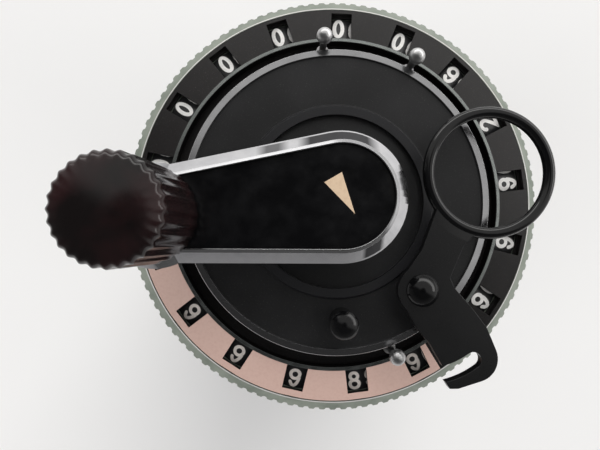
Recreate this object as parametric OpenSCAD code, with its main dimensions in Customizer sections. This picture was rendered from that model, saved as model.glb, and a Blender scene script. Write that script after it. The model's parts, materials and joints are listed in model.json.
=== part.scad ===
// Cylindrical stepped-drum calculator: a lifting, turning dial carriage on a round body with setting sliders.
// Millimetres, +Z up, the shaft axis is Z and the table is at z = 0.

/* [Body] */
// Outer radius of the body sleeve
sleeve_r = 26.5; // [24:0.1:29]
// Wall of the body sleeve
sleeve_wall = 1.2; // [1.0:0.05:1.4]
// Height of the body, from the table to the face under the carriage
body_h = 72.1; // [66:0.1:79]
// Thickness of the visible foot of the base plate
base_h = 5; // [4.5:0.1:6]
// Chamfer round the foot
base_chamfer = 1.2; // [0.6:0.1:1.6]
// Thickness of the lower bearing plate
lower_plate_t = 2; // [1.5:0.1:2.5]
// Height of the lower bearing plate's underside
lower_plate_z = 12; // [11:0.1:13]
// Thickness of the upper bearing plate
upper_plate_t = 1.6; // [1.2:0.1:1.8]
// Radius of the frame posts
post_r = 1.7; // [1.5:0.1:2]
// Radius of the base screws
screw_r = 1.2; // [1:0.05:1.3]

/* [Columns] */
// Columns round the machine, of which one is left bare
column_n = 18; // [18:1:20]
// Number of setting sliders
setting_n = 8; // [6:1:8]
// Number of result dials
result_n = 11; // [9:1:11]
// Number of counter dials
counter_n = 6; // [4:1:6]
// Angle of the result register's units dial
units_a = 167.4; // [165:0.1:170]

/* [Sliders] */
// Distance of a slider at zero below the body's top
slider_head = 14.1; // [13:0.1:15.5]
// Distance of a slider at nine above the lower bearing plate
slider_foot = 8; // [7.2:0.1:9]
// Width of the slots in the sleeve
slot_w = 1.9; // [1.7:0.1:2.2]
// Width of a slider's button
button_w = 4.4; // [3.9:0.1:5]
// Height of a slider's button
button_h = 3.2; // [2.8:0.1:3.6]
// How far a button stands off the sleeve
button_out = 2.6; // [1.8:0.1:3]
// Thickness of the slider's carrier plate
plate_t = 1.2; // [1:0.1:1.4]
// Thickness of a sliding gear
gear_h = 1.4; // [1.2:0.1:1.6]
// Distance between a setting shaft and its transmission shaft
carrier_reach = 6.8; // [6.5:0.1:7.2]
// Gap between the carrier plates of neighbouring sliders
column_gap = 0.6; // [0.5:0.05:0.8]
// Radius of a setting shaft
setting_shaft_r = 1.8; // [1.6:0.05:1.9]
// Depth of the helical groove in a setting shaft
helix_depth = 0.7; // [0.5:0.05:0.8]
// Width of the helical groove
helix_w = 1.4; // [1.2:0.05:1.5]
// Gap between a setting digit drum and the sleeve
sight_gap = 0.25; // [0.2:0.01:0.4]
// Height of a setting digit drum
setting_drum_h = 6.7; // [6:0.1:7]
// Width of a setting window
setting_window_w = 3.1; // [2.6:0.1:3.4]
// Height of a setting window
setting_window_h = 4.2; // [3.6:0.1:4.6]

/* [Drum] */
// Radius of the main shaft
shaft_r = 3; // [2.6:0.1:3.3]
// Gap between the drum's teeth and the sliding gears
drum_gap = 0.4; // [0.3:0.05:0.6]
// Height of the drum's teeth
tooth_h = 1.7; // [1.4:0.1:2]
// Angle between the drum's teeth
tooth_a = 18; // [17:0.5:20]
// Radius of a transmission shaft
transmission_r = 0.8; // [0.7:0.05:0.9]

/* [Carriage] */
// How far the rim stands out over the sleeve
rim_over = 1.5; // [1.2:0.1:2.5]
// Width of the smooth chamfer above the knurl
rim_chamfer_w = 1.6; // [1.2:0.1:1.8]
// Height of that chamfer
rim_chamfer_h = 1.5; // [1.2:0.1:1.8]
// Ribs round the rim
knurl_n = 120; // [90:6:120]
// Depth of the knurl
knurl_depth = 0.35; // [0.2:0.05:0.45]
// Width of the sloping window ring
cone_w = 4.95; // [4.6:0.05:5.4]
// Rise of the window ring from its outer to its inner edge
cone_rise = 1.4; // [1.2:0.05:1.6]
// Thickness of the window ring
cone_t = 1; // [0.8:0.05:1.1]
// Tangential width of a window
window_w = 2.75; // [2.4:0.05:3]
// Gap between a numeral dial and the middle line to its neighbour
dial_side_gap = 0.43; // [0.35:0.01:0.6]
// Gap between the numeral dials and the carrier's floor
dial_floor_gap = 0.23; // [0.15:0.01:0.4]
// Radius of a dial's axle
axle_r = 0.5; // [0.4:0.02:0.6]
// Width of the groove of the decimal markers
groove_w = 2.15; // [2:0.05:2.3]
// Thickness of the clearing disc
disc_t = 2.6; // [2.2:0.1:3]
// Radius of the centre tube that carries the carriage
tube_r = 5.5; // [5:0.05:5.9]
// Lift of the carriage
carriage_lift = 4; // [3.5:0.1:4.2]

/* [Clearing lever] */
// Distance of the lever's pivot in from the disc's edge
pivot_in = 4.75; // [4.4:0.05:5]
// Angle of the lever's pivot
pivot_a = -47.4; // [-48:0.2:-46]
// Thickness of the lever's blade
lever_t = 1.2; // [1:0.1:1.3]
// Outer radius of the finger ring
ring_r = 7.85; // [7.2:0.05:8.6]
// Radius of the finger ring's round section
ring_wire_r = 0.68; // [0.6:0.01:0.75]
// Distance between the pivot and the finger ring's centre
ring_reach = 16; // [15:0.1:17]
// Direction of the finger ring from the pivot
ring_a = 59.9; // [58:0.1:62]
// Distance between the pivot and the stop stud
stop_reach = 10; // [9.4:0.1:10.6]
// Radius of the pivot stud's neck
pivot_neck_r = 1; // [0.8:0.05:1.2]
// Radius of the stop stud's neck
stop_neck_r = 0.7; // [0.6:0.05:0.8]
// Radius of the sphere of both studs' domed heads
dome_r = 2.2; // [2:0.05:2.4]

/* [Crank] */
// Distance from the shaft to the knob's axis
crank_l = 20.5; // [19:0.1:22]
// Angle of the arm at rest
crank_a = 185.7; // [180:0.1:190]
// Radius of the hub end of the arm
hub_r = 7.28; // [7:0.05:7.9]
// Half width of the arm at the knob
arm_end_r = 5.15; // [5:0.05:5.4]
// Radius of the round pad under the knob
pad_r = 5.8; // [5.6:0.05:6.2]
// Thickness of the arm
arm_h = 3.4; // [3.1:0.1:3.8]
// Polished chamfer round the arm
arm_chamfer = 1.2; // [0.8:0.05:1.3]
// Depth of the arm's recessed face
face_depth = 0.25; // [0.15:0.05:0.4]
// Radius of the knob's foot
knob_foot_r = 4.9; // [4.7:0.05:5.1]
// Radius of the knob's top
knob_top_r = 4.6; // [4.4:0.05:4.8]
// Height of the knob
knob_h = 12.8; // [11.5:0.1:15]
// Flutes round the knob
flute_n = 28; // [20:1:30]
// Radius of a flute
flute_r = 0.42; // [0.35:0.01:0.45]
// Radius of the pin on which the knob turns
knob_pin_r = 1.5; // [1.2:0.05:1.7]

/* [Fits] */
// Radial clearance of a running fit
run = 0.05; // [0.03:0.01:0.08]
// Gap between pieces that pass each other
pass = 0.3; // [0.25:0.01:0.33]

/* [Hidden] */
eps = 0.01;
$fn = 64;

// Columns
pitch_a = 360 / column_n;
half_a = pitch_a / 2;
counter_a = units_a + 1.5 * pitch_a;
post_angles = [units_a + 40, units_a + 100, units_a + 180];
reverse_a = units_a + 130;

// Body
sleeve_in_r = sleeve_r - sleeve_wall;
plate_r = sleeve_in_r - run;
base_spigot_h = 2;
base_spigot_wall = 1.5;
base_recess = 1.4;
base_floor_z = base_h - base_recess;
screw_head_r = 2.3;
screw_head_h = 1.25;
screw_sunk = 0.2;
screw_grip = 3;
post_tenon_r = 1;
upper_plate_z = body_h - upper_plate_t;
shaft_below = 3;
tube_below = 3.4;
tube_low_z = upper_plate_z - tube_below;
tube_flange_out = 1.8;

// Setting
step_n = 9;
slider_zero_z = body_h - slider_head;
slider_low_z = lower_plate_z + lower_plate_t + slider_foot;
slider_travel = slider_zero_z - slider_low_z;
slider_step = slider_travel / step_n;
slot_over = 2;
slot_gap = 0.25;
setting_drum_r = ((sleeve_in_r - sight_gap) * sin(half_a) - pass) / (1 + sin(half_a));
setting_circle_r = sleeve_in_r - sight_gap - setting_drum_r;
setting_drum_z = upper_plate_z - pass - setting_drum_h;
setting_window_z = setting_drum_z + (setting_drum_h - setting_window_h) / 2;
journal_r = 1;
groove_over = 2.4;
rail_h = 1.5;
rail_depth = 0.4;
rail_z = (slider_zero_z + slot_over + setting_window_z) / 2;
reverse_z = body_h - 28.1;
reverse_travel = 5;

// Drum
transmission_circle_r = setting_circle_r - carrier_reach;
gear_tip_r = transmission_circle_r * sin(half_a) - column_gap / 2;
gear_tooth_h = 0.7;
plate_w = 2 * (gear_tip_r - 0.12);
drum_tip_r = transmission_circle_r - gear_tip_r - drum_gap;
drum_root_r = drum_tip_r - tooth_h;
crank_lift = slider_step / 2;
drum_low_z = slider_low_z - plate_t / 2 - gear_h - crank_lift - 0.2;
drum_top_z = slider_zero_z + 3.6;
carry_pin_r = 0.6;
carry_circle_r = transmission_circle_r + 2.6;
carry_gap = 0.5;
top_gear_r = gear_tip_r - 0.27;
top_gear_h = 2;

// Carriage radii
rim_r = sleeve_r + rim_over;
cone_out_r = rim_r - rim_chamfer_w;
cone_in_r = cone_out_r - cone_w;
slope_a = atan(cone_rise / cone_w);
groove_in_r = cone_in_r - groove_w;
disc_r = groove_in_r - 0.1;
shelf_w = 1.1;
rim_in_r = cone_out_r - shelf_w;
cover_wall = 0.45;
window_in_r = cone_in_r + cover_wall + 0.1;
window_dip = 0.9;
cone_bevel = 0.4;
carrier_wall_in_r = transmission_circle_r + top_gear_r + 0.4;
carrier_wall_out_r = carrier_wall_in_r + 1;
spring_wire_r = 0.3;
spring_r = tube_r + 1.4;
collar_r = tube_r + 2.5;
spring_cup_r = tube_r + 2.9;
spring_cup_wall = 1;

// Numeral dials
dial_r = cone_in_r * tan(half_a) - dial_side_gap;
dial_top_in_r = cone_in_r + cover_wall + 0.4;
dial_top_out_r = rim_in_r - 0.25;
dial_w = (dial_top_out_r - dial_top_in_r) / cos(slope_a);
dial_gap = 0.25;
dial_depth = cone_t + dial_gap + dial_r;
dial_mid_r = (dial_top_in_r + dial_top_out_r) / 2 - dial_r * sin(slope_a);
dial_below_cone = (dial_mid_r + dial_depth * sin(slope_a) - cone_in_r) * tan(slope_a)
    + dial_depth * cos(slope_a);
pinion_r = 1.9;
pinion_w = 1.3;

// Carriage heights
rim_bottom_z = body_h + pass;
carrier_floor_z = rim_bottom_z + 0.1;
carrier_floor_t = 0.4;
dial_mid_z = carrier_floor_z + carrier_floor_t + dial_floor_gap + dial_r * cos(slope_a)
    + dial_w / 2 * sin(slope_a);
cone_in_z = dial_mid_z + dial_below_cone;
cone_out_z = cone_in_z - cone_rise;
rim_z = cone_out_z - rim_chamfer_h;
shelf_z = cone_out_z - 0.9;
groove_z = cone_in_z - 1.65;
cover_t = 0.6;
cover_top_z = cone_in_z + 0.4;
cover_plate_t = 1.2;
carrier_top_z = cover_top_z - cover_plate_t - run;
web_t = 1.15;
hub_flange_t = 0.8;
collar_t = 0.6;
collar_z = carrier_top_z - 0.85;
spring_space = collar_z - carrier_floor_z - hub_flange_t;
spring_turns = floor(2 * (spring_space - carriage_lift) / (2 * spring_wire_r + 0.2)) / 2;

// Clearing disc and decimal markers
disc_bottom_z = cover_top_z + pass;
disc_top_z = disc_bottom_z + disc_t;
tube_top_z = disc_top_z - 0.6;
spigot_r = tube_r + 1;
disc_bore_r = tube_r + 0.4;
boss_out_r = disc_r - 7;
boss_in_r = boss_out_r - 1.4;
boss_h = 0.5;
marker_track_r = (groove_in_r + cone_in_r) / 2;
marker_ball_r = 1;
marker_pin_r = 0.45;
marker_foot_r = 0.8;
marker_ball_z = disc_top_z + 1.3;
marker_angles = [94.2, 61, -69];

// Clearing lever
lever_z = marker_ball_z + marker_ball_r + 0.4;
pivot_r = disc_r - pivot_in;
pivot = pivot_r * [cos(pivot_a), sin(pivot_a)];
ring = ring_reach * [cos(ring_a), sin(ring_a)];
stop_from_pivot_a = -156.3;
notch_a = -54.1;
stud_sunk = disc_t - 0.7;
stud_gap = 0.1;
pivot_head_r = 1.9;
stop_head_r = 1.7;
head_top_z = lever_z + lever_t + stud_gap + dome_cap(pivot_head_r);

// Crank
arm_z = head_top_z + pass;
arm_top_z = arm_z + arm_h;
neck_r = 5;
shaft_in_arm = 2;
face_z = arm_top_z - face_depth;
knob_z = arm_top_z + 0.1;
knob_at = crank_l * [cos(crank_a), sin(crank_a)];
knob_recess_r = 2.6;
knob_recess = 1.4;
knob_pin_head_r = 2.5;
knob_pin_head_h = 1.1;
flute_in = 0.12;

body_black = [0.08, 0.08, 0.085];
satin_black = [0.14, 0.14, 0.15];
steel = [0.72, 0.72, 0.74];
rim_grey = [0.62, 0.66, 0.62];
brass = [0.78, 0.66, 0.36];
ivory = [0.86, 0.84, 0.78];
knob_brown = [0.16, 0.12, 0.12];

function result_angle(i) = units_a - pitch_a * (i - 1);
function setting_angle(i) = result_angle(i);
function counter_angle(i) = counter_a + pitch_a * (i - 1);
function dial_angles() = concat([for (i = [1:result_n]) result_angle(i)],
    [for (i = [1:counter_n]) counter_angle(i)]);

// Height of the cap that a circle of radius r cuts from the studs' sphere
function dome_cap(r) = dome_r - sqrt(dome_r * dome_r - r * r);

// A toothed outline: n teeth from tip radius to root radius
module gear_outline(n, tip, root) {
    step = 360 / n;
    polygon([for (i = [0:n - 1]) for (p = [[-0.36, root], [-0.2, tip], [0.2, tip], [0.36, root]])
        p[1] * [cos((i + p[0]) * step), sin((i + p[0]) * step)]]);
}

// Points of an arc round a centre
function arc(centre, r, from, to, n = 12) =
    [for (k = [0:n]) let (a = from + (to - from) * k / n) centre + r * [cos(a), sin(a)]];

// Places a child at a radius and an angle round the shaft axis
module polar(r, a, z = 0) {
    rotate([0, 0, a])
        translate([r, 0, z])
            children();
}

// Places a child on a dial's axle: its Z runs outward along the axle
module on_dial_axle(a) {
    polar(dial_mid_r, a, dial_mid_z)
        rotate([0, 90 + slope_a, 0])
            children();
}

module base_plate() {
    color(body_black)
    difference() {
        rotate_extrude()
            polygon([[0, 0], [sleeve_r - base_chamfer, 0], [sleeve_r, base_chamfer], [sleeve_r, base_h],
                [plate_r, base_h], [plate_r, base_h + base_spigot_h],
                [plate_r - base_spigot_wall, base_h + base_spigot_h],
                [plate_r - base_spigot_wall, base_floor_z],
                [0, base_floor_z]]);
        for (a = post_angles)
            polar(setting_circle_r, a, -eps) {
                cylinder(r = screw_r + run, h = base_h + 1);
                cylinder(r1 = screw_head_r + pass, r2 = screw_r + run, h = screw_head_h + 0.25);
            }
    }
}

module base_screws() {
    color(steel)
    for (a = post_angles)
        polar(setting_circle_r, a, screw_sunk)
            difference() {
                union() {
                    cylinder(r1 = screw_head_r, r2 = screw_r, h = screw_head_h);
                    cylinder(r = screw_r, h = lower_plate_z + lower_plate_t + screw_grip - screw_sunk);
                }
                translate([-screw_head_r - 1, -0.3, -eps])
                    cube([2 * screw_head_r + 2, 0.6, 0.5]);
            }
}

module outer_sleeve() {
    color(body_black)
    difference() {
        translate([0, 0, base_h])
            cylinder(r = sleeve_r, h = body_h - base_h);
        translate([0, 0, base_h - 1])
            cylinder(r = sleeve_in_r, h = body_h);
        for (i = [1:setting_n]) {
            wall_opening(setting_angle(i), slider_low_z - slot_over, slot_w, slider_travel + 2 * slot_over);
            wall_opening(setting_angle(i), setting_window_z, setting_window_w, setting_window_h);
        }
        wall_opening(reverse_a, reverse_z - slot_over, slot_w, reverse_travel + 2 * slot_over);
        translate([0, 0, rail_z - rail_h / 2])
            rotate_extrude()
                translate([sleeve_r - rail_depth, 0])
                    square([1, rail_h]);
    }
}

// An upright opening through the sleeve's wall
module wall_opening(a, z, w, h) {
    polar(sleeve_in_r - 1, a, z)
        translate([0, -w / 2, 0])
            cube([sleeve_wall + 2, w, h]);
}

module setting_marker() {
    color(ivory)
    polar(0, setting_angle(3) - half_a, rail_z) {
        intersection() {
            translate([sleeve_r - rail_depth, -1.1, 0.1 - rail_h / 2])
                cube([2, 2.2, rail_h - 0.2]);
            difference() {
                cylinder(r = sleeve_r + 1, h = 2 * rail_h, center = true);
                cylinder(r = sleeve_r - rail_depth + run, h = 3 * rail_h, center = true);
            }
        }
        translate([sleeve_r + 0.9, 0, 0])
            sphere(r = rail_h / 2);
    }
}

module lower_bearing_plate() {
    color(brass)
    difference() {
        translate([0, 0, lower_plate_z])
            cylinder(r = plate_r, h = lower_plate_t);
        translate([0, 0, lower_plate_z - 1])
            cylinder(r = shaft_r + run, h = lower_plate_t + 2);
        for (a = dial_angles())
            polar(transmission_circle_r, a, lower_plate_z - 1)
                cylinder(r = transmission_r + run, h = lower_plate_t + 2);
        for (i = [1:setting_n])
            polar(setting_circle_r, setting_angle(i), lower_plate_z - 1)
                cylinder(r = journal_r + run, h = lower_plate_t + 2);
        for (a = post_angles)
            polar(setting_circle_r, a, lower_plate_z - 1)
                cylinder(r = screw_r + run, h = lower_plate_t + 2);
    }
}

module upper_bearing_plate() {
    color(brass)
    difference() {
        translate([0, 0, upper_plate_z])
            cylinder(r = plate_r, h = upper_plate_t);
        translate([0, 0, upper_plate_z - 1])
            cylinder(r = tube_r + run, h = upper_plate_t + 2);
        for (a = dial_angles())
            polar(transmission_circle_r, a, upper_plate_z - 1)
                cylinder(r = transmission_r + run, h = upper_plate_t + 2);
        for (i = [1:setting_n])
            polar(setting_circle_r, setting_angle(i), upper_plate_z - 1)
                cylinder(r = journal_r + run, h = upper_plate_t + 2);
        for (a = post_angles)
            polar(setting_circle_r, a, upper_plate_z - 1)
                cylinder(r = post_tenon_r, h = upper_plate_t + 2);
    }
}

module frame_posts() {
    color(steel)
    for (a = post_angles)
        polar(setting_circle_r, a) {
            difference() {
                translate([0, 0, lower_plate_z + lower_plate_t])
                    cylinder(r = post_r, h = upper_plate_z - lower_plate_z - lower_plate_t);
                translate([0, 0, lower_plate_z])
                    cylinder(r = screw_r + run, h = lower_plate_t + screw_grip + 0.5);
            }
            translate([0, 0, upper_plate_z - eps])
                cylinder(r = post_tenon_r - run, h = upper_plate_t - 0.1);
            difference() {
                translate([0, 0, base_floor_z])
                    cylinder(r = post_r + 0.4, h = lower_plate_z - base_floor_z);
                translate([0, 0, base_floor_z - 1])
                    cylinder(r = screw_r + run, h = lower_plate_z);
            }
        }
}

module centre_tube() {
    color(steel)
    difference() {
        union() {
            translate([0, 0, tube_low_z])
                cylinder(r = tube_r, h = tube_top_z - tube_low_z);
            translate([0, 0, upper_plate_z - upper_plate_t])
                cylinder(r = tube_r + tube_flange_out, h = upper_plate_t);
            translate([0, 0, collar_z])
                cylinder(r = collar_r, h = collar_t);
        }
        translate([0, 0, tube_low_z - 1])
            cylinder(r = shaft_r + run, h = tube_top_z);
    }
}

module transmission_shafts() {
    color(steel)
    for (a = dial_angles())
        polar(transmission_circle_r, a) {
            translate([0, 0, lower_plate_z - 1.5])
                cylinder(r = transmission_r, h = body_h - lower_plate_z + 2);
            translate([0, 0, body_h + 0.2])
                linear_extrude(top_gear_h)
                    gear_outline(10, top_gear_r, top_gear_r - 0.6);
        }
}

// A carry lever slides on its pin and reaches in to the carry teeth above the stepped drum
module carry_levers() {
    pin_low_z = drum_top_z - 0.6;
    nose_z = drum_top_z + 0.4;
    nose_w = 2 * carry_pin_r;
    eye_h = 2.4;
    color(brass)
    for (i = [1:result_n - 1])
        polar(0, result_angle(i) - half_a) {
            translate([carry_circle_r, 0, pin_low_z])
                cylinder(r = carry_pin_r, h = upper_plate_z - pin_low_z);
            difference() {
                union() {
                    translate([drum_tip_r + carry_gap, -nose_w / 2, nose_z])
                        cube([carry_circle_r - drum_tip_r - carry_gap, nose_w, 0.9]);
                    translate([carry_circle_r, 0, nose_z])
                        cylinder(r = carry_pin_r + 0.5, h = eye_h);
                }
                translate([carry_circle_r, 0, nose_z - 1])
                    cylinder(r = carry_pin_r, h = eye_h + 2);
            }
        }
}

module reversing_lever() {
    thumb_r = 2.4;
    thumb_t = 1.6;
    color(steel)
    polar(0, reverse_a, reverse_z) {
        translate([sleeve_in_r - 1.5, -1.7, -2.2])
            cube([1.5 - pass, 3.4, 4.4]);
        translate([sleeve_in_r - 1, slot_gap - slot_w / 2, -1.2])
            cube([sleeve_wall + 2.4, slot_w - 2 * slot_gap, 2.4]);
        translate([sleeve_r + pass, 0, 0])
            rotate([0, 90, 0])
                intersection() {
                    cylinder(r = thumb_r, h = thumb_t);
                    translate([-thumb_r, -thumb_t, 0])
                        cube([2 * thumb_r, 2 * thumb_t, thumb_t]);
                }
    }
}

// The button outside, the stem through the slot, and the carrier plate with the sliding gear inside
module setting_slider(i) {
    color(satin_black)
    polar(0, setting_angle(i), slider_zero_z) {
        slider_button();
        translate([sleeve_in_r - 1, slot_gap - slot_w / 2, 0.4 - button_h / 2])
            cube([sleeve_wall + 1.5, slot_w - 2 * slot_gap, button_h - 0.8]);
        translate([sleeve_in_r - pass - 1, -1.6, -1.8])
            cube([1, 3.2, 3.6]);
        slider_carrier();
    }
}

// A round-ended button with three grip grooves across its face
module slider_button() {
    button_in_r = sleeve_r + 0.2;
    groove_pitch = 0.9;
    end_y = (button_w - button_h) / 2;
    difference() {
        translate([button_in_r, 0, 0])
            rotate([0, 90, 0])
                linear_extrude(button_out)
                    polygon(concat(arc([0, end_y], button_h / 2, 0, 180),
                        arc([0, -end_y], button_h / 2, 180, 360)));
        for (s = [-1, 0, 1])
            translate([button_in_r + button_out, 0, s * groove_pitch])
                rotate([90, 0, 0])
                    cylinder(r = 0.28, h = button_w + 1, center = true);
    }
}

// The carrier plate, its sliding gear, and the key pin that runs in the setting shaft's groove
module slider_carrier() {
    inner_r = transmission_circle_r;
    bore_h = 2 * (plate_t + gear_h);
    key_r = 0.4;
    difference() {
        union() {
            translate([inner_r, -plate_w / 2, -plate_t / 2])
                cube([sleeve_in_r - pass - inner_r - 0.5, plate_w, plate_t]);
            translate([inner_r, 0, -plate_t / 2])
                cylinder(r = plate_w / 2, h = plate_t);
            translate([inner_r, 0, -plate_t / 2 - gear_h])
                linear_extrude(gear_h + eps)
                    gear_outline(10, gear_tip_r, gear_tip_r - gear_tooth_h);
        }
        translate([inner_r, 0, 0])
            cylinder(r = transmission_r + 2 * run, h = bore_h, center = true);
        translate([setting_circle_r, 0, 0])
            cylinder(r = setting_shaft_r + 2 * run, h = bore_h, center = true);
    }
    translate([setting_circle_r - setting_shaft_r - 0.5, 0, 0])
        rotate([0, 90, 0])
            cylinder(r = key_r, h = 0.5 + helix_depth - 0.2);
}

// The digit drum on its shaft; the helical groove turns it one digit for each step of the slider
module setting_dial(i) {
    groove_top_z = slider_zero_z + groove_over;
    groove_bottom_z = slider_low_z - groove_over;
    lead = slider_step * (step_n + 1);
    turns = (groove_top_z - groove_bottom_z) / lead;
    color(ivory)
    polar(setting_circle_r, setting_angle(i)) {
        translate([0, 0, groove_top_z])
            rotate([0, 0, 180])
                mirror([0, 0, 1])
                    rotate([0, 0, -360 * groove_over / lead])
                        linear_extrude(groove_top_z - groove_bottom_z,
                            twist = -360 * turns, slices = 20, segments = 0)
                            difference() {
                                circle(r = setting_shaft_r, $fn = 12);
                                translate([setting_shaft_r - helix_depth, -helix_w / 2])
                                    square([helix_depth + 1, helix_w]);
                            }
        translate([0, 0, groove_top_z - 0.2])
            cylinder(r = setting_shaft_r, h = setting_drum_z - groove_top_z + 0.2);
        translate([0, 0, setting_drum_z])
            cylinder(r = setting_drum_r, h = setting_drum_h);
        translate([0, 0, setting_drum_z + setting_drum_h - eps])
            cylinder(r = journal_r, h = pass + upper_plate_t - 0.1);
        translate([0, 0, lower_plate_z + 0.1])
            cylinder(r = journal_r, h = groove_bottom_z - lower_plate_z + 0.2);
    }
}

module main_shaft() {
    color(steel)
    translate([0, 0, lower_plate_z - shaft_below])
        cylinder(r = shaft_r, h = arm_z + shaft_in_arm - lower_plate_z + shaft_below);
}

// One tooth row of the drum: teeth side by side from the same start
module drum_row(n, z, h) {
    if (n > 0)
        translate([0, 0, z])
            linear_extrude(h)
                polygon(concat([[0, 0]], [for (k = [0:n - 1])
                    for (p = [[-0.34, drum_root_r - 0.5], [-0.34, drum_root_r], [-0.2, drum_tip_r],
                        [0.2, drum_tip_r],
                        [0.34, drum_root_r], [0.34, drum_root_r - 0.5]])
                        p[1] * [cos((k + p[0]) * tooth_a), sin((k + p[0]) * tooth_a)]]));
}

// Each setting meets its own row: n teeth with the crank down, the complement to nine with it lifted
module stepped_drum() {
    row_h = gear_h - 0.2;
    neck_h = tube_low_z - crank_lift - pass - drum_top_z;
    pocket_n = 6;
    pocket_r = (drum_root_r - shaft_r) / 4;
    color(steel)
    difference() {
        union() {
            translate([0, 0, drum_low_z])
                cylinder(r = drum_root_r, h = drum_top_z - drum_low_z);
            rotate([0, 0, crank_a + 60])
                for (k = [0:step_n]) {
                    row_z = slider_zero_z - k * slider_step - plate_t / 2 - gear_h + 0.1;
                    drum_row(k, row_z, row_h);
                    drum_row(step_n - k, row_z - crank_lift, row_h);
                }
            translate([0, 0, drum_top_z - eps])
                cylinder(r = drum_root_r - 3, h = neck_h);
            translate([0, 0, drum_top_z + 0.6])
                linear_extrude(1)
                    rotate([0, 0, crank_a + 20])
                        polygon([[0, -1], [drum_tip_r, -0.8], [drum_tip_r, 0.8], [0, 1]]);
        }
        translate([0, 0, drum_low_z - 1])
            cylinder(r = shaft_r + run, h = tube_low_z);
        for (k = [0:pocket_n - 1])
            polar((shaft_r + drum_root_r) / 2 + run, k * 360 / pocket_n, drum_low_z - 1)
                cylinder(r = pocket_r, h = 4);
    }
}

// Outline of the arm, drawn in by d: the round hub, the round knob end and the straight sides between them
module arm_outline(d) {
    lean = acos((hub_r - arm_end_r) / crank_l);
    polygon(concat(arc([0, 0], hub_r - d, crank_a + lean, crank_a - lean + 360, 32),
        arc(knob_at, arm_end_r - d, crank_a - lean, crank_a + lean, 24)));
}

module crank_arm() {
    color(satin_black)
    difference() {
        union() {
            hull() {
                translate([0, 0, arm_z])
                    linear_extrude(arm_h - arm_chamfer)
                        arm_outline(0);
                translate([0, 0, arm_top_z - 0.1])
                    linear_extrude(0.1)
                        arm_outline(arm_chamfer);
            }
            translate([knob_at[0], knob_at[1], arm_z])
                rotate_extrude()
                    polygon([[0, 0.1], [pad_r, 0.1], [pad_r, arm_h - arm_chamfer],
                        [pad_r - arm_chamfer, arm_h - 0.02],
                        [0, arm_h - 0.02]]);
            translate([0, 0, disc_top_z + pass])
                cylinder(r = neck_r, h = arm_z - disc_top_z);
        }
        translate([0, 0, face_z])
            linear_extrude(1)
                arm_outline(arm_chamfer + 0.3);
        translate([0, 0, disc_top_z])
            cylinder(r = shaft_r + run, h = arm_z + shaft_in_arm + 0.1 - disc_top_z);
        translate([knob_at[0], knob_at[1], arm_z - 1])
            cylinder(r = knob_pin_r, h = arm_h + 2);
    }
}

module crank_knob() {
    color(knob_brown)
    translate([knob_at[0], knob_at[1], knob_z])
        difference() {
            rotate_extrude()
                polygon([[0, 0], [knob_foot_r - 0.5, 0], [knob_foot_r, 0.6], [knob_top_r, knob_h - 1.2],
                    [knob_top_r - 0.35, knob_h - 0.4], [knob_top_r - 1.1, knob_h], [0, knob_h]]);
            for (k = [0:flute_n - 1])
                rotate([0, 0, k * 360 / flute_n])
                    translate([knob_foot_r - flute_in, 0, -1])
                        cylinder(r = flute_r, h = knob_h + 2);
            translate([0, 0, -1])
                cylinder(r = knob_pin_r + run, h = knob_h + 2);
            translate([0, 0, knob_h - knob_recess])
                cylinder(r = knob_recess_r, h = knob_recess + 1);
        }
}

module knob_pin() {
    head_z = knob_z + knob_h - knob_recess + 0.1;
    color(satin_black)
    translate([knob_at[0], knob_at[1], 0]) {
        translate([0, 0, arm_z + 0.2])
            cylinder(r = knob_pin_r, h = head_z - arm_z);
        translate([0, 0, head_z])
            cylinder(r = knob_pin_head_r, h = knob_pin_head_h);
    }
}

function spring_point(t, z0, z1) = let (a = 360 * spring_turns * t)
    [spring_r * cos(a), spring_r * sin(a), z0 + (z1 - z0) * t];

// A round wire swept along a helix: rings of six points
module carriage_spring() {
    z0 = carrier_floor_z + hub_flange_t + spring_wire_r + 0.05;
    z1 = collar_z - spring_wire_r - 0.05;
    rings = ceil(spring_turns * 8);
    sides = 6;
    points = [for (k = [0:rings]) let (t = k / rings, a = 360 * spring_turns * t, c = spring_point(t, z0, z1))
        for (s = [0:sides - 1]) let (b = 60 * s)
            c + spring_wire_r * (cos(b) * [cos(a), sin(a), 0] + sin(b) * [0, 0, 1])];
    sides_faces = [for (k = [0:rings - 1]) for (s = [0:sides - 1]) let (n = (s + 1) % sides)
        for (f = [[k * sides + s, (k + 1) * sides + s, (k + 1) * sides + n],
            [k * sides + s, (k + 1) * sides + n, k * sides + n]]) f];
    low_cap = [for (s = [1:sides - 2]) [0, s, s + 1]];
    high_cap = [for (s = [1:sides - 2]) [rings * sides, rings * sides + s + 1, rings * sides + s]];
    echo(spring_gap = (z1 - z0) / spring_turns - 2 * spring_wire_r);
    color(steel)
    polyhedron(points, concat(sides_faces, low_cap, high_cap));
}

module carriage_rim() {
    color(rim_grey)
    difference() {
        intersection() {
            rotate_extrude()
                polygon([[0, rim_bottom_z], [rim_r - 0.8, rim_bottom_z], [rim_r, rim_bottom_z + 0.8],
                    [rim_r, rim_z],
                    [cone_out_r, cone_out_z], [0, cone_out_z]]);
            translate([0, 0, rim_bottom_z - 1])
                linear_extrude(cone_out_z - rim_bottom_z + 2)
                    gear_outline(knurl_n, rim_r, rim_r - knurl_depth);
        }
        translate([0, 0, rim_bottom_z - 1])
            cylinder(r = rim_in_r, h = cone_out_z - rim_bottom_z + 2);
        translate([0, 0, shelf_z])
            cylinder(r = cone_out_r - run, h = cone_out_z - shelf_z + 1);
    }
}

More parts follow.
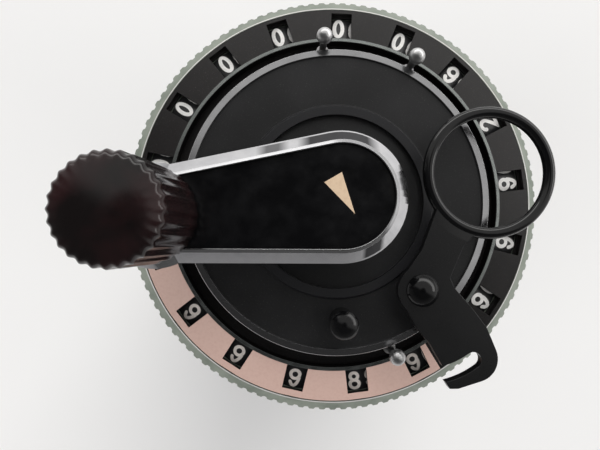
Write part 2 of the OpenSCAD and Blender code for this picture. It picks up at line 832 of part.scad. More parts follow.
module window_ring() {
    color(body_black)
    difference() {
        rotate_extrude()
            polygon([[cone_out_r - 2 * run, shelf_z + run], [cone_out_r - 2 * run, cone_out_z + 0.03],
                [cone_in_r + cone_bevel, cone_in_z - cone_bevel * tan(slope_a)],
                [cone_in_r, cone_in_z - cone_bevel],
                [cone_in_r, groove_z], [groove_in_r, groove_z], [groove_in_r, cover_top_z],
                [spigot_r + run, cover_top_z], [spigot_r + run, cover_top_z - cover_plate_t],
                [groove_in_r - cover_wall, cover_top_z - cover_plate_t],
                [groove_in_r - cover_wall, groove_z - cover_t],
                [cone_in_r + cover_wall, groove_z - cover_t],
                [cone_in_r + cover_wall, cone_in_z - cover_wall * tan(slope_a) - cone_t / cos(slope_a)],
                [rim_in_r + 0.1,
                cone_in_z - (rim_in_r + 0.1 - cone_in_r) * tan(slope_a) - cone_t / cos(slope_a)],
                [rim_in_r + 0.1, shelf_z + run]]);
        for (a = dial_angles())
            polar(window_in_r, a, groove_z - 0.5)
                translate([0, -window_w / 2, 0])
                    cube([rim_in_r - window_in_r, window_w, cone_in_z - groove_z + 1]);
        for (a = dial_angles())
            polar(cone_in_r - 1, a, cone_in_z - window_dip)
                translate([0, -window_w / 2, 0])
                    cube([cover_wall + 1.3, window_w, window_dip + 1]);
    }
}

module dial_carrier() {
    color(brass)
    difference() {
        rotate_extrude()
            polygon([[tube_r + run, carrier_floor_z], [spring_cup_r + spring_cup_wall, carrier_floor_z],
                [spring_cup_r + spring_cup_wall, carrier_top_z - web_t],
                [carrier_wall_in_r, carrier_top_z - web_t],
                [carrier_wall_in_r, carrier_floor_z], [rim_in_r - run, carrier_floor_z],
                [rim_in_r - run, carrier_floor_z + carrier_floor_t],
                [carrier_wall_out_r, carrier_floor_z + carrier_floor_t], [carrier_wall_out_r, carrier_top_z],
                [spring_cup_r, carrier_top_z], [spring_cup_r, carrier_floor_z + hub_flange_t],
                [tube_r + run, carrier_floor_z + hub_flange_t]]);
        for (a = dial_angles())
            on_dial_axle(a)
                translate([0, 0, -(dial_mid_r - carrier_wall_in_r) - 2])
                    cylinder(r = axle_r + 0.02, h = 4);
    }
}

module dial_axles() {
    inner = (dial_mid_r - carrier_wall_in_r) / cos(slope_a) - 0.2;
    outer = (rim_in_r - 0.4 - dial_mid_r) / cos(slope_a);
    color(steel)
    for (a = dial_angles())
        on_dial_axle(a)
            translate([0, 0, -inner])
                cylinder(r = axle_r, h = inner + outer);
}

module numeral_dial(a) {
    color(satin_black)
    on_dial_axle(a)
        difference() {
            union() {
                translate([0, 0, -dial_w / 2])
                    cylinder(r = dial_r, h = dial_w);
                translate([0, 0, -dial_w / 2 - pinion_w])
                    linear_extrude(pinion_w + eps)
                        gear_outline(10, pinion_r, pinion_r - 0.6);
            }
            translate([0, 0, -10])
                cylinder(r = axle_r + run, h = 20);
        }
}

module decimal_marker(i) {
    color(steel)
    polar(marker_track_r, marker_angles[i - 1]) {
        translate([0, 0, groove_z + run])
            cylinder(r = marker_foot_r, h = 1.2);
        translate([0, 0, groove_z + run])
            cylinder(r = marker_pin_r, h = marker_ball_z - groove_z);
        translate([0, 0, marker_ball_z])
            sphere(r = marker_ball_r);
    }
}

module clearing_disc() {
    edge = 0.15;
    ring_w = 1;
    face_drop = 0.12;
    boss_floor = 0.3;
    color(satin_black)
    difference() {
        rotate_extrude()
            polygon([[disc_bore_r, cover_top_z - cover_plate_t + 0.1],
                [spigot_r, cover_top_z - cover_plate_t + 0.1],
                [spigot_r, disc_bottom_z], [disc_r - 0.5, disc_bottom_z], [disc_r, disc_bottom_z + 0.5],
                [disc_r, disc_top_z - edge], [disc_r - edge, disc_top_z],
                [disc_r - ring_w + edge, disc_top_z],
                [disc_r - ring_w, disc_top_z - face_drop], [boss_out_r, disc_top_z - face_drop],
                [boss_out_r - 0.3, disc_top_z + boss_h], [boss_in_r, disc_top_z + boss_h],
                [boss_in_r, disc_top_z - boss_floor], [disc_bore_r, disc_top_z - boss_floor]]);
        for (p = studs())
            translate([p[0][0], p[0][1], disc_top_z - stud_sunk - 0.1])
                cylinder(r = p[1] + run, h = stud_sunk + 1);
    }
}

// The pivot stud and the stop stud: place, radius of the neck, radius of the head
function studs() = [[pivot, pivot_neck_r, pivot_head_r],
    [pivot + stop_reach * [cos(stop_from_pivot_a), sin(stop_from_pivot_a)], stop_neck_r, stop_head_r]];

// Each stud has a shoulder under the lever, a neck through it and a domed head
module disc_studs() {
    head_z = lever_z + lever_t + stud_gap;
    color(body_black)
    for (p = studs())
        translate([p[0][0], p[0][1], 0]) {
            translate([0, 0, disc_top_z - stud_sunk])
                cylinder(r = p[1], h = head_z + 0.15 - disc_top_z + stud_sunk);
            translate([0, 0, disc_top_z - 0.12])
                cylinder(r = p[1] + 0.8, h = lever_z - stud_gap - disc_top_z + 0.12);
            translate([0, 0, head_z])
                intersection() {
                    translate([0, 0, dome_cap(p[2]) - dome_r])
                        sphere(r = dome_r);
                    cylinder(r = dome_r, h = dome_r);
                }
        }
}

// A flat blade with a hook that closes on the stop stud, and a finger ring at its outer end
module clearing_lever() {
    color(body_black)
    translate([pivot[0], pivot[1], 0])
    difference() {
        union() {
            translate([0, 0, lever_z])
                linear_extrude(lever_t)
                    difference() {
                        lever_outline();
                        translate(ring)
                            circle(r = ring_r - ring_wire_r);
                        hook_slot();
                    }
            translate([ring[0], ring[1], lever_z + ring_wire_r])
                rotate_extrude()
                    translate([ring_r - ring_wire_r, 0])
                        circle(r = ring_wire_r);
        }
        translate([0, 0, lever_z - 1])
            cylinder(r = pivot_neck_r + run, h = lever_t + 2);
    }
}

// The blade's outline from the pivot: a lobe round it, the hook, and the flared root of the ring
module lever_outline() {
    hook = stop_reach * [cos(notch_a), sin(notch_a)];
    root_r = ring_r - 2 * ring_wire_r - 0.3;
    polygon(concat([ring + root_r * [cos(203.8), sin(203.8)], [-0.1, 4.7]],
        arc([0, 0], pivot_head_r + 1, 130, 226),
        [[-0.6, -4.6],
        [0.8, -6.2], hook + [-3.6, -0.7], hook + [-3.3, -2.5], hook + [-2.8, -3.3], hook + [-1.8, -3.3]],
        arc(hook + [0.15, 0.15], 2.7, -72, 20),
        [hook + [1.55, 3.85], [5.7, -2], [3.7, 0.3], [3.2, 1.5], [3.6, 2.4], [4.8, 5.2],
            ring + root_r * [cos(263.1), sin(263.1)]]));
}

// The hook's slot follows the circle that the stop stud draws round the pivot
module hook_slot() {
    half_w = stop_neck_r + slot_gap;
    end = stop_reach * [cos(notch_a), sin(notch_a)];
    open_a = notch_a - 40;
    polygon(concat(arc([0, 0], stop_reach + half_w, open_a, notch_a, 10),
        arc(end, half_w, notch_a, notch_a + 180),
        arc([0, 0], stop_reach - half_w, notch_a, open_a, 10)));
}

base_plate();
base_screws();
outer_sleeve();
lower_bearing_plate();
upper_bearing_plate();
frame_posts();
centre_tube();
transmission_shafts();
carry_levers();
reversing_lever();
setting_marker();
for (i = [1:setting_n]) {
    setting_slider(i);
    setting_dial(i);
}
main_shaft();
stepped_drum();
crank_arm();
crank_knob();
knob_pin();
carriage_spring();
carriage_rim();
window_ring();
dial_carrier();
dial_axles();
for (i = [1:result_n])
    numeral_dial(result_angle(i));
for (i = [1:counter_n])
    numeral_dial(counter_angle(i));
for (i = [1:3])
    decimal_marker(i);
clearing_disc();
disc_studs();
clearing_lever();
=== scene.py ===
"""Looks of a cylindrical stepped-drum calculator: finishes, numerals, pale zone, arrow, light and camera."""
import json
import math

import bpy
from mathutils import Matrix, Vector

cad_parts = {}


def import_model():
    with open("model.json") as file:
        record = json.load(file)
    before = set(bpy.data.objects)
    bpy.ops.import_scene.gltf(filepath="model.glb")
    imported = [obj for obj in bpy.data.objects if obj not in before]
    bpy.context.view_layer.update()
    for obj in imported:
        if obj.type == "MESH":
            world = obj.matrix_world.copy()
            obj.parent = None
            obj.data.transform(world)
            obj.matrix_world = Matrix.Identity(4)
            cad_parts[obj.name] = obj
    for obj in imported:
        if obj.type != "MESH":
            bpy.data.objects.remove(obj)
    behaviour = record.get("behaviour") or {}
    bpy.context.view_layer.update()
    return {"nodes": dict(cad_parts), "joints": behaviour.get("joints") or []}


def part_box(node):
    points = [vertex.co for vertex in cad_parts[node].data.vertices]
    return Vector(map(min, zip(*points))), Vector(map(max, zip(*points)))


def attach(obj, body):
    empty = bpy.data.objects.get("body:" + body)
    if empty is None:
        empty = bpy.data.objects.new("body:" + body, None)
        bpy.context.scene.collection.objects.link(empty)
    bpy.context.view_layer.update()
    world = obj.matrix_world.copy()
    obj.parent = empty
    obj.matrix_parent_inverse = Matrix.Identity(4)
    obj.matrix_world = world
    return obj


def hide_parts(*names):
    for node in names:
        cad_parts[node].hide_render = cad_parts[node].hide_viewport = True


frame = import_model()

MM = 0.001
ORIGIN = Vector((0, 0, 0))
EAST = Vector((1, 0, 0))
UP = Vector((0, 0, 1))

# Registers: angles in degrees, sizes from the part in millimetres
COLUMN_PITCH = 20.0
UNITS_ANGLE = 167.4
RESULT_COUNT = 11
COUNTER_COUNT = 6
SETTING_COUNT = 8
COUNTER_ANGLE = UNITS_ANGLE + 1.5 * COLUMN_PITCH
DIGIT_PITCH = 36

# Numeral dials and the bands round them
DIAL_RADIUS = 3.352
BAND_RADIUS = 3.64
BAND_OUTER_END = 1.6
BAND_INNER_END = 1.5
BAND_EDGE = (0.04, 0.05)
DIGIT_SHIFT = 0.1
SETTING_CIRCLE = 21.599
SETTING_DRUM_RADIUS = 3.451
SETTING_SIGHT_Z = 66.85

# Heights of the digits in millimetres, and half the width of the pen as a share of them
RESULT_DIGIT, RESULT_PEN = 2.9, 0.088
COUNTER_DIGIT, COUNTER_PEN = 2.75, 0.08
SETTING_DIGIT, SETTING_PEN = 2.7, 0.082
SCALE_DIGIT, SCALE_PEN = 1.9, 0.075
COLUMN_DIGIT, COLUMN_PEN = 2.6, 0.08
INK_UP = 0.022
INK_DOWN = 0.03

# Digits that the windows show at rest, and how far each dial has turned past its place, in degrees
RESULT_SHOWN = [0, 0, 0, 0, 0, 0, 6, 2, 9, 9, 9]
RESULT_TURNED = [0, 0, 0, 5, 5, 4, 1, 0, -5, 0, -5]
COUNTER_SHOWN = [9, 9, 9, 9, 8, 9]
COUNTER_TURNED = [0, 0, 0, 0, -4, -3]

# Body and its scales
SLEEVE_RADIUS = 26.5
SLIDER_ZERO_Z = 58.0
SLIDER_STEP = 4.0
SCALE_ASIDE = 7.4
COLUMN_DIGIT_Z = 13.2

# Window ring
CONE_IN_R = 21.45
CONE_OUT_R = 26.3
CONE_IN_Z = 81.899
CONE_SLOPE = math.atan(1.4 / 4.95)
CONE_EDGE = 0.08
SHEET = 0.45
SKIRT_LOW_Z = 79.65
SKIRT_IN_R = 25.42
WALL = 0.45
GROOVE_Z = 80.249
GROOVE_IN_R = 19.3
GROOVE_FLOOR = 0.6
COVER_Z = 82.299
COVER_IN_R = 6.55
COVER_THICK = 1.2
WINDOW_WIDTH = 2.75
WINDOW_OUT_R = 25.3
RESULT_WINDOW_OUT_R = 25.75
CUT_CLEAR = 0.03
CUT_BELOW = 0.35
STRIPE_IN_R = 21.5
STRIPE_OUT_R = 21.95
RING_STEPS = 240

# Pale zone, from one angle to the other
PALE_START = 192.0
PALE_END = 303.0
PALE_GAP = 0.02
PALE_OUTER_GAP = 0.05
PALE_UP = 0.025
PALE_DOWN = 0.04

# Rim's turned line, clearing disc and finger ring
RIM_LINE = (26.42, 26.62)
RIM_LINE_Z = (79.9, 80.1)
DISC_R = 19.2
DISC_TOP_Z = 85.199
BOSS_IN_R = 10.8
BOSS_OUT_R = 12.2
RING_AT = (17.805, 3.206)
RING_WIRE = (6.3, 8.6)

# Crank
ARM_TOP_Z = 93.99
ARM_CHAMFER = 1.2
FACE_Z = 93.74
HUB_R = 7.28
ARM_END_R = 5.15
CRANK_LENGTH = 20.5
CRANK_ANGLE = 185.7
ARROW_TIPS = [(-2.0, 1.5), (-0.1, 2.6), (1.3, -1.9)]

# Painted dark reflection patches on the arm's chamfer: side of the arm, start and end along X, soft edge, depth
PAINTED_REFLECTION_PATCHES = ((1, -8.8, -6.3, 0.6, 0.75), (1, -4.2, 3.4, 0.7, 0.95), (-1, 2.3, 4.3, 0.25, 0.95))

# Knob and its spindle
KNOB_AT = (-20.399, -2.036)
KNOB_FOOT_Z = 94.29
KNOB_TOP_Z = 107.6
KNOB_FOOT_IN_R = 3.3
KNOB_FOOT_R = 5.2
KNOB_FOOT_H = 0.5
KNOB_WIDEST = 4.96
KNOB_SHOULDER = 0.95
KNOB_DOME = 14.0
KNOB_BORE_R = 1.56
KNOB_BORE_DEPTH = 9.9
FLUTES = 28
FLUTE_STEPS = 10
FLUTE_DEPTH = 0.2
FLUTE_END_R = 3.5
FLUTE_FADE = 1.3
FLUTE_FOOT_FADE = 0.25
SPINDLE_R = 1.5
SPINDLE_LENGTH = 9.5

# Floor, lamps and camera, in metres
FLOOR_HALF = 3.0
LAMP_AIM = (0, 0, 0.07)
CAMERA_AT = (-0.005137, -0.004096, 0.145606)
CAMERA_TURN = (0.594, -1.116)
LENS = 29.1
SENSOR = 36.0
CLIP_START = 0.005


def srgb(r, g, b):
    """A colour read from 0 to 255 as a picture shows it, in the renderer's own scale."""
    return tuple(((c / 255 + 0.055) / 1.055) ** 2.4 if c > 10 else c / 255 / 12.92
                 for c in (r, g, b)) + (1.0,)


def toned(colour, by):
    """A colour made darker or lighter by a factor."""
    return tuple(min(1.0, c * by) for c in colour[:3]) + (1.0,)


class Nodes:
    """A node tree, with short ways to add nodes and to link them."""

    def __init__(self, tree):
        self.tree = tree
        self.tree.nodes.clear()

    def node(self, kind, **settings):
        made = self.tree.nodes.new(kind)
        for key, value in settings.items():
            setattr(made, key, value)
        return made

    def join(self, a, b):
        self.tree.links.new(a, b)

    def feed(self, socket, value):
        """Links an output to a socket, or sets the socket's own value."""
        if isinstance(value, bpy.types.NodeSocket):
            self.join(value, socket)
        else:
            socket.default_value = value

    def math(self, operation, *values):
        made = self.node("ShaderNodeMath", operation=operation)
        for socket, value in zip(made.inputs, values):
            self.feed(socket, value)
        return made.outputs[0]

    def product(self, a, b):
        return self.math("MULTIPLY", a, b)

    def dot(self, a, b):
        made = self.node("ShaderNodeVectorMath", operation="DOT_PRODUCT")
        self.feed(made.inputs[0], a)
        self.feed(made.inputs[1], b)
        return made.outputs["Value"]

    def split(self, vector):
        made = self.node("ShaderNodeSeparateXYZ")
        self.join(vector, made.inputs[0])
        return made.outputs

    def remap(self, value, low, high, to_low=0.0, to_high=1.0, **settings):
        """Carries a value from one range to another, and holds it at both ends."""
        made = self.node("ShaderNodeMapRange", clamp=True, **settings)
        for name, given in (("Value", value), ("From Min", low), ("From Max", high),
                            ("To Min", to_low), ("To Max", to_high)):
            self.feed(made.inputs[name], given)
        return made.outputs[0]

    def band(self, value, low, high, soft):
        """1 where value lies between low and high, with soft sides."""
        up = self.remap(value, low - soft, low + soft)
        down = self.remap(value, high - soft, high + soft, 1.0, 0.0)
        return self.product(up, down)


class Finish(Nodes):
    """One procedural material, built on a principled shader, with object coordinates in metres."""

    def __init__(self, name):
        self.material = bpy.data.materials.new(name)
        self.material.use_nodes = True
        super().__init__(self.material.node_tree)
        self.shader = self.node("ShaderNodeBsdfPrincipled")
        self.join(self.shader.outputs[0], self.node("ShaderNodeOutputMaterial").inputs[0])
        self.place = self.node("ShaderNodeTexCoord").outputs["Object"]
        self.geometry = self.node("ShaderNodeNewGeometry")
        self.round_normal = None

    def noise(self, scale, detail=3.0, rough=0.5, place=None):
        made = self.node("ShaderNodeTexNoise")
        self.join(place or self.place, made.inputs["Vector"])
        made.inputs["Scale"].default_value = scale
        made.inputs["Detail"].default_value = detail
        made.inputs["Roughness"].default_value = rough
        return made.outputs[0]

    def mix(self, factor, a, b):
        """Colour a where factor is 0 and colour b where it is 1."""
        made = self.node("ShaderNodeMix", data_type="RGBA")
        self.feed(made.inputs["Factor"], factor)
        self.feed(made.inputs[6], a)
        self.feed(made.inputs[7], b)
        return made.outputs[2]

    def blend(self, factor, a, b):
        """Number a where factor is 0 and number b where it is 1."""
        made = self.node("ShaderNodeMix", data_type="FLOAT")
        self.feed(made.inputs["Factor"], factor)
        self.feed(made.inputs[2], a)
        self.feed(made.inputs[3], b)
        return made.outputs[0]

    def radius(self, centre=(0.0, 0.0)):
        """Distance from an upright axis, in metres."""
        x, y, _ = self.split(self.place)
        dx = self.math("SUBTRACT", x, centre[0] * MM)
        dy = self.math("SUBTRACT", y, centre[1] * MM)
        return self.math("SQRT", self.math("ADD", self.product(dx, dx), self.product(dy, dy)))

    def height(self):
        return self.split(self.place)[2]

    def facing(self):
        """The three parts of the face's own normal."""
        return self.split(self.geometry.outputs["True Normal"])

    def turned(self, across, along):
        """Coordinates that stay nearly the same round the main axis, for the lines a lathe leaves."""
        x, y, z = self.split(self.place)
        made = self.node("ShaderNodeCombineXYZ")
        self.join(self.product(self.radius(), across), made.inputs[0])
        self.join(self.product(self.math("ARCTAN2", y, x), along), made.inputs[1])
        self.join(self.product(z, across), made.inputs[2])
        return made.outputs[0]

    def soft_edges(self, radius):
        """Rounds sharp edges in the shading, by a radius in millimetres."""
        made = self.node("ShaderNodeBevel", samples=6)
        made.inputs["Radius"].default_value = radius * MM
        self.round_normal = made.outputs[0]

    def edge(self):
        """1 on sharp edges and 0 on faces, after soft_edges."""
        same = self.dot(self.round_normal, self.geometry.outputs["Normal"])
        return self.remap(self.math("SUBTRACT", 1.0, same), 0.02, 0.25)

    def bump(self, height, strength, depth):
        """A bump of height 0 to 1 over a depth in millimetres."""
        made = self.node("ShaderNodeBump")
        made.inputs["Strength"].default_value = strength
        made.inputs["Distance"].default_value = depth * MM
        self.join(height, made.inputs["Height"])
        if self.round_normal:
            self.join(self.round_normal, made.inputs["Normal"])
        return made.outputs[0]

    def fed(self, name):
        """What feeds one of the shader's sockets so far."""
        return self.shader.inputs[name].links[0].from_socket

    def set(self, **values):
        for key, value in values.items():
            self.feed(self.shader.inputs[key.replace("_", " ")], value)


def coated(name, colour, worn, rough, peel_scale, peel, speck, edge_radius, wear, gloss=0.5):
    """Paint or enamel: a mottled colour, an orange-peel surface, fine dust and rubbed edges."""
    f = Finish(name)
    f.soft_edges(edge_radius)
    broad = f.noise(140.0)
    fine = f.noise(peel_scale, 4.0, 0.6)
    dust = f.remap(f.noise(9000.0, 2.0), 0.64, 0.78, 0.0, speck)
    patchy = f.remap(f.noise(900.0), 0.42, 0.66)
    rubbed = f.product(f.product(f.edge(), patchy), wear)
    base = f.mix(f.remap(broad, 0.35, 0.65), toned(colour, 0.78), toned(colour, 1.25))
    base = f.mix(dust, base, srgb(150, 148, 142))
    base = f.mix(rubbed, base, worn)
    roughness = f.math("ADD", f.remap(fine, 0.3, 0.7, rough - 0.06, rough + 0.08),
                       f.remap(broad, 0.4, 0.7, 0.0, 0.06))
    f.set(Base_Color=base, Roughness=roughness, Specular_IOR_Level=gloss)
    f.set(Normal=f.bump(fine, 0.35, peel))
    return f


def metal(name, colour, rough, lines, depth, tint=None, edge_radius=0.08):
    """Bare metal with fine turned lines, finger marks and a slightly darker tarnish."""
    f = Finish(name)
    f.soft_edges(edge_radius)
    grain = f.noise(1.0, 4.0, 0.7, f.turned(lines, 6.0))
    marks = f.noise(260.0, 4.0, 0.6)
    base = f.mix(f.remap(marks, 0.4, 0.7, 0.0, 0.6), colour, tint or toned(colour, 0.72))
    base = f.mix(f.product(f.edge(), 0.5), base, toned(colour, 1.3))
    roughness = f.math("ADD", f.remap(grain, 0.3, 0.7, rough - 0.04, rough + 0.05),
                       f.remap(marks, 0.45, 0.7, 0.0, 0.08))
    f.set(Base_Color=base, Roughness=roughness, Metallic=1.0)
    f.set(Normal=f.bump(grain, 0.25, depth))
    return f


def rim_finish():
    """Grey-green anodised knurl, with a bright turned line beside the window ring."""
    f = metal("rim_anodised", srgb(152, 159, 148), rough=0.34, lines=26000.0, depth=0.006,
              tint=srgb(120, 130, 119), edge_radius=0.12)
    line = f.band(f.radius(), RIM_LINE[0] * MM, RIM_LINE[1] * MM, 0.00003)
    line = f.product(line, f.remap(f.height(), RIM_LINE_Z[0] * MM, RIM_LINE_Z[1] * MM))
    f.set(Base_Color=f.mix(line, f.fed("Base Color"), srgb(224, 222, 220)))
    return f


def window_ring_finish():
    """Matt black ring with a bare polished stripe along its inner edge."""
    f = coated("ring_black", srgb(23, 21, 21), srgb(96, 94, 92), rough=0.4, peel_scale=5200.0, peel=0.006,
               speck=0.2, edge_radius=0.05, wear=0.35, gloss=0.25)
    stripe = f.product(f.band(f.radius(), STRIPE_IN_R * MM, STRIPE_OUT_R * MM, 0.00003),
                       f.band(f.height(), (CONE_IN_Z - 0.3) * MM, (CONE_IN_Z + 0.1) * MM, 0.00003))
    bare = f.product(stripe, f.remap(f.noise(700.0), 0.3, 0.6, 0.75, 1.0))
    f.set(Base_Color=f.mix(bare, f.fed("Base Color"), srgb(126, 130, 128)), Metallic=f.product(bare, 0.95))
    f.set(Roughness=f.blend(stripe, f.fed("Roughness"), 0.24))
    return f


def disc_finish():
    """Matt black disc, with a painted sheen that makes the boss a little lighter."""
    f = coated("disc_black", srgb(24, 24, 25), srgb(70, 70, 72), rough=0.42, peel_scale=6400.0, peel=0.005,
               speck=0.2, edge_radius=0.08, wear=0.3, gloss=0.45)
    boss = f.product(f.band(f.radius(), BOSS_IN_R * MM, BOSS_OUT_R * MM, 0.00005),
                     f.band(f.height(), (DISC_TOP_Z + 0.1) * MM, (DISC_TOP_Z + 1.0) * MM, 0.0001))
    # Painted sheen: the boss is given a slightly lighter black than the disc
    f.set(Base_Color=f.mix(boss, f.fed("Base Color"), srgb(28, 28, 30)))
    return f


def chrome_with_painted_shade(f, marks):
    """Polished metal with faint marks, and painted shade darkening it on the side of the arm that faces -Y."""
    plate = f.mix(f.remap(marks, 0.4, 0.7), srgb(206, 206, 208), srgb(192, 192, 195))
    # Painted shade: faces whose normal points to -Y are mixed toward a darker grey
    return f.mix(f.remap(f.facing()[1], -0.7, -0.35, 0.75, 0.0), plate, srgb(136, 136, 138))


def painted_reflection_patches(f, plate):
    """Painted dark reflection patches along the arm's chamfer, short of its outer edge."""
    along, across, height = f.split(f.place)
    foot = ARM_TOP_Z - ARM_CHAMFER
    inner = f.remap(height, (foot + 0.12) * MM, (foot + 0.2) * MM)
    for side, start, end, soft, depth in PAINTED_REFLECTION_PATCHES:
        on_side = f.product(inner, f.remap(across, 3.0 * side * MM, 4.0 * side * MM))
        patch = f.product(on_side, f.band(along, start * MM, end * MM, soft * MM))
        # Painted reflection: each patch mixes the chamfer's colour toward a dark grey
        plate = f.mix(f.product(patch, depth), plate, srgb(44, 44, 46))
    return plate


def arm_finish():
    """Crank arm: polished chamfer and border round a glossy black face."""
    f = Finish("arm_polished_black")
    foot = ARM_TOP_Z - ARM_CHAMFER
    flat = f.remap(f.math("ABSOLUTE", f.facing()[2]), 0.9, 0.96)
    above = f.remap(f.height(), (foot - 0.03) * MM, (foot - 0.01) * MM)
    under = f.remap(f.height(), (ARM_TOP_Z - 0.12) * MM, (ARM_TOP_Z - 0.08) * MM, 1.0, 0.0)
    bright = f.product(above, f.math("SUBTRACT", 1.0, f.product(flat, under)))
    marks = f.noise(420.0, 4.0, 0.6)
    scratch = f.noise(1.0, 3.0, 0.6, f.turned(9000.0, 3.0))
    black = f.mix(f.remap(marks, 0.4, 0.7), srgb(12, 12, 13), srgb(20, 20, 21))
    black_rough = f.remap(marks, 0.35, 0.7, 0.10, 0.20)
    bright_rough = f.remap(marks, 0.3, 0.7, 0.04, 0.08)
    # The chamfer's colour carries painted shade on its -Y side and painted dark reflection patches
    f.set(Base_Color=f.mix(bright, black, painted_reflection_patches(f, chrome_with_painted_shade(f, marks))), Metallic=bright)
    f.set(Roughness=f.blend(bright, black_rough, bright_rough))
    f.set(Specular_IOR_Level=0.35, Normal=f.bump(scratch, 0.08, 0.0006))
    return f


def lip_finish():
    """The polished lip inside the arm's chamfer."""
    f = Finish("arm_lip_polished")
    f.soft_edges(0.04)
    marks = f.noise(420.0, 4.0, 0.6)
    # The lip's colour carries the same painted shade on its side facing -Y
    f.set(Base_Color=chrome_with_painted_shade(f, marks), Metallic=1.0, Roughness=f.remap(marks, 0.3, 0.7, 0.05, 0.09))
    f.set(Normal=f.bump(marks, 0.05, 0.002))
    return f


def knob_finish():
    """Moulded brown-black knob: faint red depth under a polished skin, rubbed ridges."""
    f = Finish("knob_brown_black")
    f.soft_edges(0.1)
    broad = f.noise(180.0)
    fine = f.noise(3800.0, 4.0, 0.6)
    base = f.mix(f.remap(broad, 0.4, 0.66), srgb(18, 14, 14), srgb(38, 20, 21))
    base = f.mix(f.product(f.edge(), 0.25), base, srgb(58, 48, 46))
    roughness = f.math("ADD", f.remap(fine, 0.3, 0.7, 0.12, 0.22), f.remap(broad, 0.4, 0.7, 0.0, 0.06))
    f.set(Base_Color=base, Roughness=roughness, Specular_IOR_Level=0.4)
    f.set(Normal=f.bump(fine, 0.15, 0.003))
    return f


def lever_finish():
    """Satin black blade with a rubbed edge, and a glossier wire ring."""
    f = coated("lever_black", srgb(12, 12, 13), srgb(62, 62, 64), rough=0.3, peel_scale=5600.0, peel=0.004,
               speck=0.06, edge_radius=0.12, wear=0.9, gloss=0.45)
    wire = f.band(f.radius(RING_AT), RING_WIRE[0] * MM, RING_WIRE[1] * MM, 0.0001)
    f.set(Roughness=f.blend(wire, f.fed("Roughness"), 0.1))
    return f


def ink_finish(name, colour, shade):
    """Printed or enamelled marks: an even colour with thin places and a faint grain."""
    f = Finish(name)
    thin = f.noise(2600.0, 3.0, 0.6)
    fine = f.noise(14000.0, 2.0)
    f.set(Base_Color=f.mix(f.remap(thin, 0.45, 0.75, 0.0, 0.55), colour, shade))
    f.set(Roughness=f.remap(fine, 0.3, 0.7, 0.42, 0.6), Normal=f.bump(fine, 0.25, 0.003))
    return f


def floor_finish():
    """An even pale grey, matt."""
    f = Finish("floor_pale")
    tone = f.noise(6.0, 2.0)
    f.set(Base_Color=f.mix(tone, srgb(242, 241, 239), srgb(238, 237, 235)), Roughness=0.9)
    f.set(Specular_IOR_Level=0.1)
    return f


FINISHES = {
    "black_enamel": coated("body_enamel", srgb(34, 34, 35), srgb(118, 116, 112), rough=0.36,
                           peel_scale=2600.0, peel=0.012, speck=0.2, edge_radius=0.16, wear=0.7),
    "ring": window_ring_finish(),
    "disc": disc_finish(),
    "arm": arm_finish(),
    "lip": lip_finish(),
    "lever": lever_finish(),
    "stud": coated("stud_black", srgb(11, 11, 12), srgb(60, 60, 62), rough=0.12,
                   peel_scale=2400.0, peel=0.003, speck=0.0, edge_radius=0.06, wear=0.2, gloss=0.35),
    "rim": rim_finish(),
    "knob": knob_finish(),
    "pin": coated("pin_black", srgb(26, 26, 27), srgb(110, 110, 112), rough=0.22,
                  peel_scale=3600.0, peel=0.004, speck=0.1, edge_radius=0.08, wear=0.5),
    "bevel": metal("disc_bevel_steel", srgb(176, 176, 178), rough=0.16, lines=30000.0, depth=0.002,
                   edge_radius=0.03),
    "marker": metal("marker_satin", srgb(206, 206, 206), rough=0.36, lines=30000.0, depth=0.002,
                    edge_radius=0.05),
    "polished_steel": metal("polished_steel", srgb(222, 222, 224), rough=0.22, lines=40000.0, depth=0.002,
                            edge_radius=0.05),
    "shaft_steel": metal("ground_steel", srgb(188, 188, 190), rough=0.26, lines=50000.0, depth=0.004),
    "brass": metal("machined_brass", srgb(206, 172, 104), rough=0.3, lines=42000.0, depth=0.004,
                   tint=srgb(160, 122, 66)),
    "dial": coated("dial_black", srgb(30, 30, 31), srgb(98, 96, 94), rough=0.38,
                   peel_scale=5200.0, peel=0.004, speck=0.15, edge_radius=0.06, wear=0.5),
    "button": coated("button_black", srgb(28, 28, 29), srgb(120, 118, 115), rough=0.3,
                     peel_scale=3000.0, peel=0.006, speck=0.1, edge_radius=0.1, wear=0.8),
    "white_ink": ink_finish("white_ink", srgb(240, 238, 234), srgb(218, 214, 208)),
    "grey_ink": ink_finish("grey_ink", srgb(214, 206, 198), srgb(184, 174, 166)),
    "engraved_ink": ink_finish("engraved_ink", srgb(222, 220, 212), srgb(176, 172, 162)),
    "pale_zone": ink_finish("pale_enamel", srgb(208, 176, 163), srgb(196, 160, 147)),
    "arrow": ink_finish("arrow_enamel", srgb(216, 190, 160), srgb(196, 166, 134)),
    "floor": floor_finish(),
}

# The finish of each CAD node, by its name without the number
NODE_FINISH = {
    "outer_sleeve": "black_enamel", "base_plate": "black_enamel", "window_ring": "ring",
    "clearing_disc": "disc", "crank_arm": "arm", "knob_pin": "pin", "clearing_lever": "lever",
    "disc_studs": "stud", "carriage_rim": "rim", "crank_knob": "knob", "base_screws": "polished_steel",
    "reversing_lever": "polished_steel", "setting_marker": "polished_steel", "decimal_marker": "marker",
    "main_shaft": "shaft_steel", "stepped_drum": "shaft_steel", "centre_tube": "shaft_steel",
    "transmission_shafts": "shaft_steel", "frame_posts": "shaft_steel", "carriage_spring": "shaft_steel",
    "dial_axles": "shaft_steel", "lower_bearing_plate": "brass", "upper_bearing_plate": "brass",
    "carry_levers": "brass", "dial_carrier": "brass", "result_dial": "dial", "counter_dial": "dial",
    "setting_dial": "dial", "setting_slider": "button",
}


